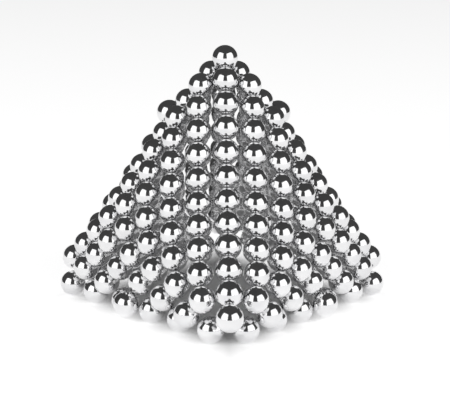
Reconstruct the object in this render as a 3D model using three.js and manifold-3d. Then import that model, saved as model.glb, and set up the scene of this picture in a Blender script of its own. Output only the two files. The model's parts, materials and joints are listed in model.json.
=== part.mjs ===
// A hollow four-cornered pyramid of equal steel-coloured magnetic balls.
// The front sheet of balls is draped from a ridge that leans towards the front, and its two halves mirror
// each other. The back sheet is the same drape seen from behind, without the balls that the front leaves no
// room for. A ring of balls on the ground closes the foot. Every chain of balls that comes off in one piece
// is one mesh, joined by a thin neck where two of its balls meet.
// Millimetres, +Z up, -Y is the front, the origin is under the middle of the sculpture at ground level.

import * as THREE from 'three';
import { mergeVertices } from 'three/addons/utils/BufferGeometryUtils.js';
import Module from 'manifold-3d';

const wasm = await Module();
wasm.setup();

// Ball
const ballDiameter = 5;
const ballClearance = 0.04;
const ballSides = 5;
const ballRingAngles = [60, 120];
const flatAngle = 20;
const neckDiameter = 1.1;
const neckSides = 3;

// Ridge: its balls, its lean from the vertical, and the flare that turns its foot outwards
const ridgeBalls = 12;
const ridgeLean = 33.71;
const ridgeTopLean = 38.86;
const topLeanFade = 1.2;
const flareLean = 14.6;
const flareMiddleRow = 5.2;
const flareHalfRows = 1.12;

// Rows: how far a row turns back from the ridge, the tilt of that turn, and its stretch before it is straight
const rowTurn = 59.4;
const rowTiltAtRidge = 48.9;
const rowTiltAtEdge = 39.6;
const rowTurnPower = 0.75;
const rowStretch = 1.057;

// Ground ring, in ball pitches from the apex ball's centre
const apexHeight = 8.96;
const ringFront = [-0.62, -6.09];
const ringCorner = [-5.93, 0];
const ringBalls = 6;
const bridgeColumn = 4;
const bridgeRow = 9;
const bridgeShare = 0.8;
const bridgeForward = 0.75;

// Settling: balls that meet push each other apart, and the front sheet gives way less than the back one
const settleSteps = 600;
const anchoredSteps = 450;
const anchorStrength = 0.01;
const frontGive = 0.3;
const backGive = 1;
const pushStrength = 0.7;

const ballRadius = ballDiameter / 2;
const pitch = ballDiameter + ballClearance;

// Chains of one half sheet: name, column, first row, last row, and the ground ball that ends it, if any
const frontChains = [
  ['edge_1', 1, 0, 0],
  ['column_1_upper', 1, 1, 5],
  ['column_1_lower', 1, 6, 10, 1],
  ['edge_2', 2, 1, 1],
  ['column_2_upper', 2, 2, 6],
  ['column_2_lower', 2, 7, 10, 2],
  ['edge_3', 3, 2, 2],
  ['column_3_upper', 3, 3, 6],
  ['column_3_lower', 3, 7, 9, 3],
  ['edge_4', 4, 3, 3],
  ['column_4_upper', 4, 4, 6],
  ['column_4_lower', 4, 7, 9, 4],
  ['edge_5', 5, 4, 4],
  ['column_5', 5, 5, 7],
  ['column_6', 6, 5, 7, 5],
  ['column_7', 7, 5, 6],
  ['corner', 8, 5, 5, 6],
];
const backChains = [
  ['column_1', 1, 2, 10, 1],
  ['column_2', 2, 2, 10, 2],
  ['column_3', 3, 3, 9, 3],
  ['column_4', 4, 4, 9, 4],
  ['column_5', 5, 5, 7],
  ['column_6', 6, 5, 7, 5],
];
const frontRidge = [['front_ridge_upper', 1, 4], ['front_ridge_middle', 5, 8], ['front_ridge_lower', 9, 11]];
const backRidge = [['back_ridge_upper', 2, 6], ['back_ridge_lower', 7, 11]];

const steel = new THREE.MeshStandardMaterial({ color: 0xc4c7cb, roughness: 0.12, metalness: 1 });

const radians = THREE.MathUtils.degToRad;

// The smooth step from 0 to 1.
function smooth(x) {
  return THREE.MathUtils.smoothstep(x, 0, 1);
}

// Ball centres down the front ridge, from the apex, in pitches.
function ridgeCentres() {
  const centres = [];
  const centre = new THREE.Vector3();
  for (let row = 0; row < ridgeBalls; row += 1) {
    centres.push(centre.clone());
    const flare = flareLean * smooth((row - flareMiddleRow + flareHalfRows) / (2 * flareHalfRows));
    const fade = Math.exp(-topLeanFade * row);
    const lean = radians(ridgeLean + (ridgeTopLean - ridgeLean) * fade + flare);
    centre.add(new THREE.Vector3(0, -Math.sin(lean), -Math.cos(lean)));
  }
  return centres;
}

const ridge = ridgeCentres();

// Centre of the ball in one column and row of the left front half, in pitches.
function sheetCentre(column, row) {
  if (column === bridgeColumn && row === bridgeRow) {
    const between = sheetCentre(column, row - 1).lerp(ringCentre(column), bridgeShare);
    return between.add(new THREE.Vector3(0, -bridgeForward, 0));
  }
  const centre = ridge[row].clone();
  const reach = Math.min(row, ridgeBalls - 1 - row) + 0.5;
  for (let step = 0; step < column; step += 1) {
    const along = Math.min(1, (step + 0.5) / reach) ** rowTurnPower;
    const turn = radians(rowTurn * along);
    const tilt = radians(rowTiltAtRidge + (rowTiltAtEdge - rowTiltAtRidge) * along);
    const stretch = along < 1 ? rowStretch : 1;
    const back = Math.sin(turn) * Math.sin(tilt);
    const down = Math.sin(turn) * Math.cos(tilt);
    centre.addScaledVector(new THREE.Vector3(-Math.cos(turn), back, -down), stretch);
  }
  return centre;
}

// Centre of a ground ball of the left front quarter, in pitches, counted from the front foot.
function ringCentre(number) {
  const share = (number - 1) / (ringBalls - 1);
  const x = THREE.MathUtils.lerp(ringFront[0], ringCorner[0], share);
  const y = THREE.MathUtils.lerp(ringFront[1], ringCorner[1], share);
  return new THREE.Vector3(x, y, -apexHeight);
}

const balls = [];

// Adds one ball, mirrored to its side and face, and returns it.
function addBall(centre, side, face, onGround) {
  const home = centre.clone().multiply(new THREE.Vector3(side, face, 1));
  const ball = { home, centre: home.clone(), give: face > 0 ? frontGive : backGive, onGround };
  balls.push(ball);
  return ball;
}

// Lists every chain as a name and its balls in order.
function layOutChains() {
  const chains = [{ name: 'apex_ball', balls: [addBall(ridge[0], 1, 1, false)] }];
  for (const [face, rows] of [[1, frontRidge], [-1, backRidge]]) {
    for (const [name, first, last] of rows) {
      const chain = { name, balls: [] };
      for (let row = first; row <= last; row += 1) {
        chain.balls.push(addBall(ridge[row], 1, face, false));
      }
      chains.push(chain);
    }
  }
  for (const [face, faceName, rows] of [[1, 'front', frontChains], [-1, 'back', backChains]]) {
    for (const [side, sideName] of [[1, 'left'], [-1, 'right']]) {
      for (const [name, column, first, last, ground] of rows) {
        const chain = { name: `${faceName}_${sideName}_${name}`, balls: [] };
        for (let row = first; row <= last; row += 1) {
          chain.balls.push(addBall(sheetCentre(column, row), side, face, false));
        }
        if (ground) {
          chain.balls.push(addBall(ringCentre(ground), side, face, true));
        }
        chains.push(chain);
      }
    }
  }
  return chains;
}

// Moves each ball by its share of every overlap, all at once, so the two sides stay mirror images.
function settle() {
  for (let step = 0; step < settleSteps; step += 1) {
    const moves = balls.map(() => new THREE.Vector3());
    for (let i = 0; i < balls.length; i += 1) {
      for (let j = i + 1; j < balls.length; j += 1) {
        const gap = new THREE.Vector3().subVectors(balls[i].centre, balls[j].centre);
        const distance = gap.length();
        if (distance < 1) {
          const push = (pushStrength * (1 - distance)) / distance;
          const share = balls[i].give / (balls[i].give + balls[j].give);
          moves[i].addScaledVector(gap, push * share);
          moves[j].addScaledVector(gap, -push * (1 - share));
        }
      }
    }
    const anchor = step < anchoredSteps ? anchorStrength : 0;
    balls.forEach((ball, index) => {
      ball.centre.add(moves[index]);
      ball.centre.lerp(ball.home, anchor);
      ball.centre.z = ball.onGround ? -apexHeight : Math.max(ball.centre.z, -apexHeight);
    });
  }
}

function toSolid(geometry) {
  const bare = geometry.clone();
  bare.deleteAttribute('normal');
  bare.deleteAttribute('uv');
  const merged = mergeVertices(bare, 1e-5);
  const vertProperties = new Float32Array(merged.attributes.position.array);
  const triVerts = new Uint32Array(merged.index.array);
  return new wasm.Manifold(new wasm.Mesh({ numProp: 3, vertProperties, triVerts }));
}

function toGeometry(solid) {
  const { vertProperties, triVerts } = solid.getMesh();
  const geometry = new THREE.BufferGeometry();
  geometry.setAttribute('position', new THREE.BufferAttribute(new Float32Array(vertProperties), 3));
  geometry.setIndex(new THREE.BufferAttribute(new Uint32Array(triVerts), 1));
  geometry.computeVertexNormals();
  return geometry;
}

// A ball turned about the vertical, with a small flat at its top and its foot to stand on.
function ballGeometry() {
  const flatRadius = ballRadius * Math.sin(radians(flatAngle));
  const profile = [new THREE.Vector2(0, -ballRadius), new THREE.Vector2(flatRadius, -ballRadius)];
  for (const angle of [...ballRingAngles].reverse()) {
    const polar = radians(angle);
    profile.push(new THREE.Vector2(ballRadius * Math.sin(polar), ballRadius * Math.cos(polar)));
  }
  profile.push(new THREE.Vector2(flatRadius, ballRadius), new THREE.Vector2(0, ballRadius));
  return new THREE.LatheGeometry(profile, ballSides).rotateX(Math.PI / 2);
}

// The neck between two balls of a chain, from centre to centre.
function neckGeometry(from, to) {
  const along = new THREE.Vector3().subVectors(to, from);
  const turn = new THREE.Quaternion().setFromUnitVectors(new THREE.Vector3(0, 1, 0), along.clone().normalize());
  const neck = new THREE.CylinderGeometry(neckDiameter / 2, neckDiameter / 2, along.length(), neckSides);
  const middle = from.clone().lerp(to, 0.5);
  return neck.applyQuaternion(turn).translate(middle.x, middle.y, middle.z);
}

// One mesh for a chain, with its geometry about its first ball.
function chainMesh(chain) {
  const places = chain.balls.map((ball) => ball.centre.clone().multiplyScalar(pitch));
  const start = places[0].clone();
  const offsets = places.map((place) => place.clone().sub(start));
  let solid = toSolid(ballGeometry());
  for (let index = 1; index < offsets.length; index += 1) {
    const { x, y, z } = offsets[index];
    solid = solid.add(toSolid(neckGeometry(offsets[index - 1], offsets[index])));
    solid = solid.add(toSolid(ballGeometry().translate(x, y, z)));
  }
  const mesh = new THREE.Mesh(toGeometry(solid), steel);
  mesh.name = chain.name;
  mesh.position.copy(start);
  return mesh;
}

const chains = layOutChains();
settle();

const sculpture = new THREE.Group();
sculpture.name = 'magnetic_ball_pyramid';
chains.forEach((chain) => sculpture.add(chainMesh(chain)));

const box = new THREE.Box3().setFromObject(sculpture, true);
sculpture.position.set(0, -(box.min.y + box.max.y) / 2, -box.min.z);

export default sculpture;
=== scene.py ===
import bpy
import json
import numpy as np
from math import cos, radians, sin
from mathutils import Matrix, Vector

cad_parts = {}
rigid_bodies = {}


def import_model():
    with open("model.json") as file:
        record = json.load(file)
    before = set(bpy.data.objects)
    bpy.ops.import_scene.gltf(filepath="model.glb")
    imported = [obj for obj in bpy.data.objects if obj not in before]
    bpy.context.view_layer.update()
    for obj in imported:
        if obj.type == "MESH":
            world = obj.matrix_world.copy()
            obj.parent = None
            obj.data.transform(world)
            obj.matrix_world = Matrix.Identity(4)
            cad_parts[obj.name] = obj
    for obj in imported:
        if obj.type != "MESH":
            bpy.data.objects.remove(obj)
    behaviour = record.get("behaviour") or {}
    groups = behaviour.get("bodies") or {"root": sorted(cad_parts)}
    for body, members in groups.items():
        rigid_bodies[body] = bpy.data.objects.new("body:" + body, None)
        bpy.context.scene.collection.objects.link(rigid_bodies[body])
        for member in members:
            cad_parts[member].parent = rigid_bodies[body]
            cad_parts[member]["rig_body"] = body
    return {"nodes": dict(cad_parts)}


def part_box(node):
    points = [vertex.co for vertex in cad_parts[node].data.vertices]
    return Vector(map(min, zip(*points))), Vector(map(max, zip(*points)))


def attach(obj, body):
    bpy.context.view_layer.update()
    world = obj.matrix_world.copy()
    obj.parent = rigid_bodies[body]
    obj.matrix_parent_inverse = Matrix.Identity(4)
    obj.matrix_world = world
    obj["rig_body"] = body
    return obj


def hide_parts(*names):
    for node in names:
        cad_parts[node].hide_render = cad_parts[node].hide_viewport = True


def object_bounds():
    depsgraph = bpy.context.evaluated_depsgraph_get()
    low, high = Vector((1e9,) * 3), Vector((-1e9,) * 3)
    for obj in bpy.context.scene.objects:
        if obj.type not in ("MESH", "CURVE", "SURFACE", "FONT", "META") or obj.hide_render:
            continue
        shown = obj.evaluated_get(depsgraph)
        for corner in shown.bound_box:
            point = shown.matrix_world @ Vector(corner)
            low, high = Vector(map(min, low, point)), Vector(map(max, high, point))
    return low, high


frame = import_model()
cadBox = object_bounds()
print("frame loaded:", len(frame["nodes"]), "nodes")


# a shader socket that can be used in sums
class Socket:
    def __init__(self, tree, link):
        self.tree = tree
        self.link = link

    def math(self, operation, first, second):
        node = self.tree.nodes.new("ShaderNodeMath")
        node.operation = operation
        for place, value in enumerate((first, second)):
            if isinstance(value, Socket):
                self.tree.links.new(value.link, node.inputs[place])
            else:
                node.inputs[place].default_value = value
        return Socket(self.tree, node.outputs[0])

    def __abs__(self):
        return self.math("ABSOLUTE", self, 0.0)

    def __add__(self, other):
        return self.math("ADD", self, other)

    def __radd__(self, other):
        return self.math("ADD", other, self)

    def __sub__(self, other):
        return self.math("SUBTRACT", self, other)

    def __rsub__(self, other):
        return self.math("SUBTRACT", other, self)

    def __mul__(self, other):
        return self.math("MULTIPLY", self, other)

    def __rmul__(self, other):
        return self.math("MULTIPLY", other, self)


# a new material and one method that adds any node: settings first, then sockets
class Finish:
    def __init__(self, name):
        self.material = bpy.data.materials.new(name)
        self.material.use_nodes = True
        self.tree = self.material.node_tree
        self.shader = self.tree.nodes["Principled BSDF"]

    def add(self, kind, settings=None, inputs=None, output=0):
        node = self.tree.nodes.new(kind)
        for key, value in (settings or {}).items():
            if key == "stops":
                for element, stop in zip(node.color_ramp.elements, value):
                    element.position, element.color = stop[0], (*stop[1], 1)
            else:
                setattr(node, key, value)
        for key, value in (inputs or {}).items():
            self.plug(node, key, value)
        return Socket(self.tree, node.outputs[output])

    def plug(self, node, key, value):
        if isinstance(value, Socket):
            self.tree.links.new(value.link, node.inputs[key])
        else:
            node.inputs[key].default_value = value


# polished plating: broad waves, fine hairline scratches, and small dull patches
platingSettings = {
    "light": (0.80, 0.80, 0.805),
    "dark": (0.70, 0.70, 0.71),
    "patchScale": 260.0,      # patches a metre
    "hairScale": 900.0,       # hairlines a metre, before they are drawn out
    "hairTurn": (0.5, 0.3, 0.9),
    "hairStretch": (1.0, 1.0, 9.0),
    "hairShare": 0.6,         # of the bump height, and the patches have the rest
    "roughness": 0.05,
    "patchRoughness": 0.07,
    "hairRoughness": 0.04,
    "waveBump": 0.02,
    "bumpDistance": 0.00006,
}


def polishedPlating(settings):
    finish = Finish("polishedPlating")
    place = finish.add("ShaderNodeTexCoord", output=3)
    stretched = finish.add("ShaderNodeMapping", inputs={
        "Vector": place, "Rotation": settings["hairTurn"], "Scale": settings["hairStretch"]})
    patch = finish.add("ShaderNodeTexNoise", inputs={
        "Vector": place, "Scale": settings["patchScale"], "Detail": 4.0})
    hair = finish.add("ShaderNodeTexNoise", inputs={
        "Vector": stretched, "Scale": settings["hairScale"], "Detail": 6.0})
    stops = [(0.3, settings["dark"]), (0.6, settings["light"])]
    tint = finish.add("ShaderNodeValToRGB", {"stops": stops}, {"Fac": patch})
    finish.plug(finish.shader, "Base Color", tint)
    roughness = settings["roughness"] + patch * settings["patchRoughness"] + hair * settings["hairRoughness"]
    finish.plug(finish.shader, "Roughness", roughness)
    finish.shader.inputs["Metallic"].default_value = 1.0
    share = settings["hairShare"]
    height = hair * share + patch * (1 - share)
    bump = finish.add("ShaderNodeBump", inputs={
        "Height": height, "Strength": settings["waveBump"], "Distance": settings["bumpDistance"]})
    finish.plug(finish.shader, "Normal", bump)
    return finish.material


plating = polishedPlating(platingSettings)
print("plating ready")


# the balls: how the frame's faceted ball is cut, and how finely the round one is made
ballSettings = {
    "frameSides": 5,
    "flatAngle": 20.0,        # degrees from the pole to the edge of the small flat
    "frameTurn": -90.0,       # degrees to the first of its corners
    "cornersFound": 8,        # how many corners must agree on a centre
    "tolerance": 3e-6,        # metres
    "around": 28,
    "down": 16,
}

apexLow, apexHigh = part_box("apex_ball")
ballRadius = (apexHigh.z - apexLow.z) / 2


# centres of a node's balls: a corner of a flat, less that corner's offset, is a centre
# where enough of the node's corners lie one radius away
def ballCentres(node, settings):
    mesh = node.data
    corners = np.empty(len(mesh.vertices) * 3)
    mesh.vertices.foreach_get("co", corners)
    corners = np.unique(corners.reshape(-1, 3).round(7), axis=0)
    sides = settings["frameSides"]
    turn = np.radians(settings["frameTurn"] + 360 * np.arange(sides) / sides)
    flat = ballRadius * np.sin(np.radians(settings["flatAngle"]))
    rim = np.stack([flat * np.cos(turn), flat * np.sin(turn), np.full_like(turn, ballRadius)], axis=1)
    offsets = np.concatenate([rim, rim * (1, 1, -1)])
    tries = (corners[:, None] - offsets[None]).reshape(-1, 3)
    away = np.linalg.norm(tries[:, None] - corners[None], axis=2)
    agree = (np.abs(away - ballRadius) < settings["tolerance"]).sum(axis=1)
    found = tries[agree >= settings["cornersFound"]]
    apart = np.linalg.norm(found[:, None] - found[None], axis=2) < ballRadius / 2
    return found[~np.tril(apart, -1).any(axis=1)]


# one round ball about each centre: x = r sin(p) cos(t), y = r sin(p) sin(t), z = r cos(p),
# with a single corner at each pole and the last column of faces joined to the first
def ballsMesh(name, centres, settings):
    around, down = settings["around"], settings["down"]
    polar = np.pi * np.arange(1, down) / down
    turn = 2 * np.pi * np.arange(around) / around
    p, t = np.meshgrid(polar, turn, indexing="ij")
    ring = np.stack([np.sin(p) * np.cos(t), np.sin(p) * np.sin(t), np.cos(p)], axis=-1).reshape(-1, 3)
    unit = np.concatenate([ring, [[0, 0, 1], [0, 0, -1]]])
    top, bottom = len(ring), len(ring) + 1
    i, j = np.meshgrid(np.arange(down - 2), np.arange(around), indexing="ij")
    after = (j + 1) % around
    quads = np.stack([i * around + j, (i + 1) * around + j, (i + 1) * around + after, i * around + after],
                     axis=-1).reshape(-1, 4)
    start = np.arange(around)
    follow = (start + 1) % around
    last = (down - 2) * around
    caps = np.concatenate([
        np.stack([np.full(around, top), start, follow], axis=1),
        np.stack([np.full(around, bottom), last + follow, last + start], axis=1)])
    points = (centres[:, None] + ballRadius * unit[None]).reshape(-1, 3)
    shift = len(unit) * np.arange(len(centres))[:, None, None]
    quadFaces = (quads[None] + shift).reshape(-1, 4).tolist()
    capFaces = (caps[None] + shift).reshape(-1, 3).tolist()
    faces = quadFaces + capFaces
    mesh = bpy.data.meshes.new(name)
    mesh.from_pydata(points, [], faces)
    mesh.polygons.foreach_set("use_smooth", np.ones(len(mesh.polygons), dtype=bool))
    mesh.update()
    return mesh


def makeBalls(settings):
    count = 0
    for nodeName, node in frame["nodes"].items():
        centres = ballCentres(node, settings)
        count += len(centres)
        pieceName = nodeName + "_round"
        piece = bpy.data.objects.new(pieceName, ballsMesh(pieceName, centres, settings))
        bpy.context.scene.collection.objects.link(piece)
        piece.data.materials.append(plating)
        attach(piece, node["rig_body"])
        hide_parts(nodeName)
    print("balls made:", count)


makeBalls(ballSettings)


# a wide pale floor that glows evenly away from the sculpture, with painted shade under it
floorSettings = {
    "halfSize": 6.0,
    "paper": (0.88, 0.88, 0.88),
    "glow": 0.80,
    "paintedShadeReach": 0.35,       # how softly the floor's glow gives way to the painted shade at the sculpture's outline
    "grain": 700.0,
}


def makeFloor(settings):
    half = settings["halfSize"]
    mesh = bpy.data.meshes.new("floor")
    corners = [(-half, -half, 0), (half, -half, 0), (half, half, 0), (-half, half, 0)]
    mesh.from_pydata(corners, [], [(0, 1, 2, 3)])
    floor = bpy.data.objects.new("floor", mesh)
    bpy.context.scene.collection.objects.link(floor)
    finish = Finish("paleFloorWithPaintedShade")
    place = finish.add("ShaderNodeTexCoord", output=3)
    grain = finish.add("ShaderNodeTexNoise", inputs={"Vector": place, "Scale": settings["grain"]})
    finish.shader.inputs["Base Color"].default_value = (*settings["paper"], 1)
    finish.plug(finish.shader, "Roughness", 0.75 + grain * 0.1)
    finish.shader.inputs["Specular IOR Level"].default_value = 0.15
    # the sculpture stands on a rhombus, |x| / a + |y| / b = 1, and the floor only glows outside it: inside
    # it, the missing glow is painted shade under the sculpture
    across = finish.add("ShaderNodeSeparateXYZ", inputs={"Vector": place}, output="X")
    along = finish.add("ShaderNodeSeparateXYZ", inputs={"Vector": place}, output="Y")
    high = cadBox[1]
    outline = abs(across) * (1 / high.x) + abs(along) * (1 / high.y)
    reach = settings["paintedShadeReach"]
    # painted shade: no glow well inside the rhombus, fading up to full glow just past its outline, so the
    # floor is darker under and around the sculpture
    light = finish.add("ShaderNodeMapRange", {"interpolation_type": "SMOOTHSTEP"}, {
        "Value": outline, "From Min": 1 - reach, "From Max": 1 + reach / 2})
    # a colour mix has its factor at 0, its colours at 6 and 7, and its result at output 2
    glow = finish.add("ShaderNodeMix", {"data_type": "RGBA"}, {
        0: light, 6: (0.0, 0.0, 0.0, 1), 7: (1.0, 1.0, 1.0, 1)}, 2)
    finish.plug(finish.shader, "Emission Color", glow)
    finish.shader.inputs["Emission Strength"].default_value = settings["glow"]
    mesh.materials.append(finish.material)


makeFloor(floorSettings)


# two tall soft panels, one each side of the camera, in a dim room
panelSettings = {
    "left": {"azimuth": -48.0, "distance": 0.75, "width": 0.80, "height": 0.85, "radiance": 1.45},
    "right": {"azimuth": 47.0, "distance": 0.75, "width": 0.95, "height": 0.80, "radiance": 1.45},
}
roomSettings = {"grey": 0.06, "panelLift": 0.02}


def makeLights(settings):
    for name, panel in settings.items():
        azimuth = radians(panel["azimuth"])
        light = bpy.data.lights.new(name + "Panel", "AREA")
        light.shape = "RECTANGLE"
        light.size = panel["width"]
        light.size_y = panel["height"]
        light.energy = panel["radiance"] * np.pi * panel["width"] * panel["height"]
        lamp = bpy.data.objects.new(name + "Panel", light)
        lamp.location = (panel["distance"] * sin(azimuth), -panel["distance"] * cos(azimuth),
                         panel["height"] / 2 + roomSettings["panelLift"])
        aim = Vector((-lamp.location.x, -lamp.location.y, 0))
        lamp.rotation_euler = aim.to_track_quat("-Z", "Y").to_euler()
        lamp.visible_camera = False
        bpy.context.scene.collection.objects.link(lamp)
    grey = roomSettings["grey"]
    world = bpy.data.worlds.new("dimRoom")
    world.use_nodes = True
    world.node_tree.nodes["Background"].inputs["Color"].default_value = (grey, grey, grey, 1)
    bpy.context.scene.world = world


makeLights(panelSettings)
print("floor and lights ready")


# the camera stands in front, a little above, and turned slightly from the middle plane
cameraSettings = {
    "elevation": 12.3,
    "turn": 2.13,
    "roll": -0.61,
    "apexDepth": 51.96,       # ball diameters, along the line of sight
    "apexAbove": 5.615,        # ball diameters, above the middle of the view
    "lens": 107.43,
    "sensor": 36.0,
}


def makeCamera(settings):
    elevation = radians(settings["elevation"])
    turn = radians(settings["turn"])
    roll = radians(settings["roll"])
    diameter = 2 * ballRadius
    ahead = Vector((sin(turn) * cos(elevation), cos(turn) * cos(elevation), -sin(elevation)))
    side = Vector((cos(turn), -sin(turn), 0))
    rise = side.cross(ahead)
    right = side * cos(roll) - rise * sin(roll)
    up = side * sin(roll) + rise * cos(roll)
    apex = Vector(ballCentres(frame["nodes"]["apex_ball"], ballSettings)[0])
    data = bpy.data.cameras.new("camera")
    data.lens = settings["lens"]
    data.sensor_width = settings["sensor"]
    data.clip_start = 0.01
    camera = bpy.data.objects.new("camera", data)
    spot = apex - ahead * settings["apexDepth"] * diameter - up * settings["apexAbove"] * diameter
    axes = Matrix((right, up, -ahead)).transposed()
    camera.matrix_world = Matrix.Translation(spot) @ axes.to_4x4()
    bpy.context.scene.collection.objects.link(camera)
    bpy.context.scene.camera = camera


makeCamera(cameraSettings)
bpy.context.scene.view_settings.view_transform = "Standard"
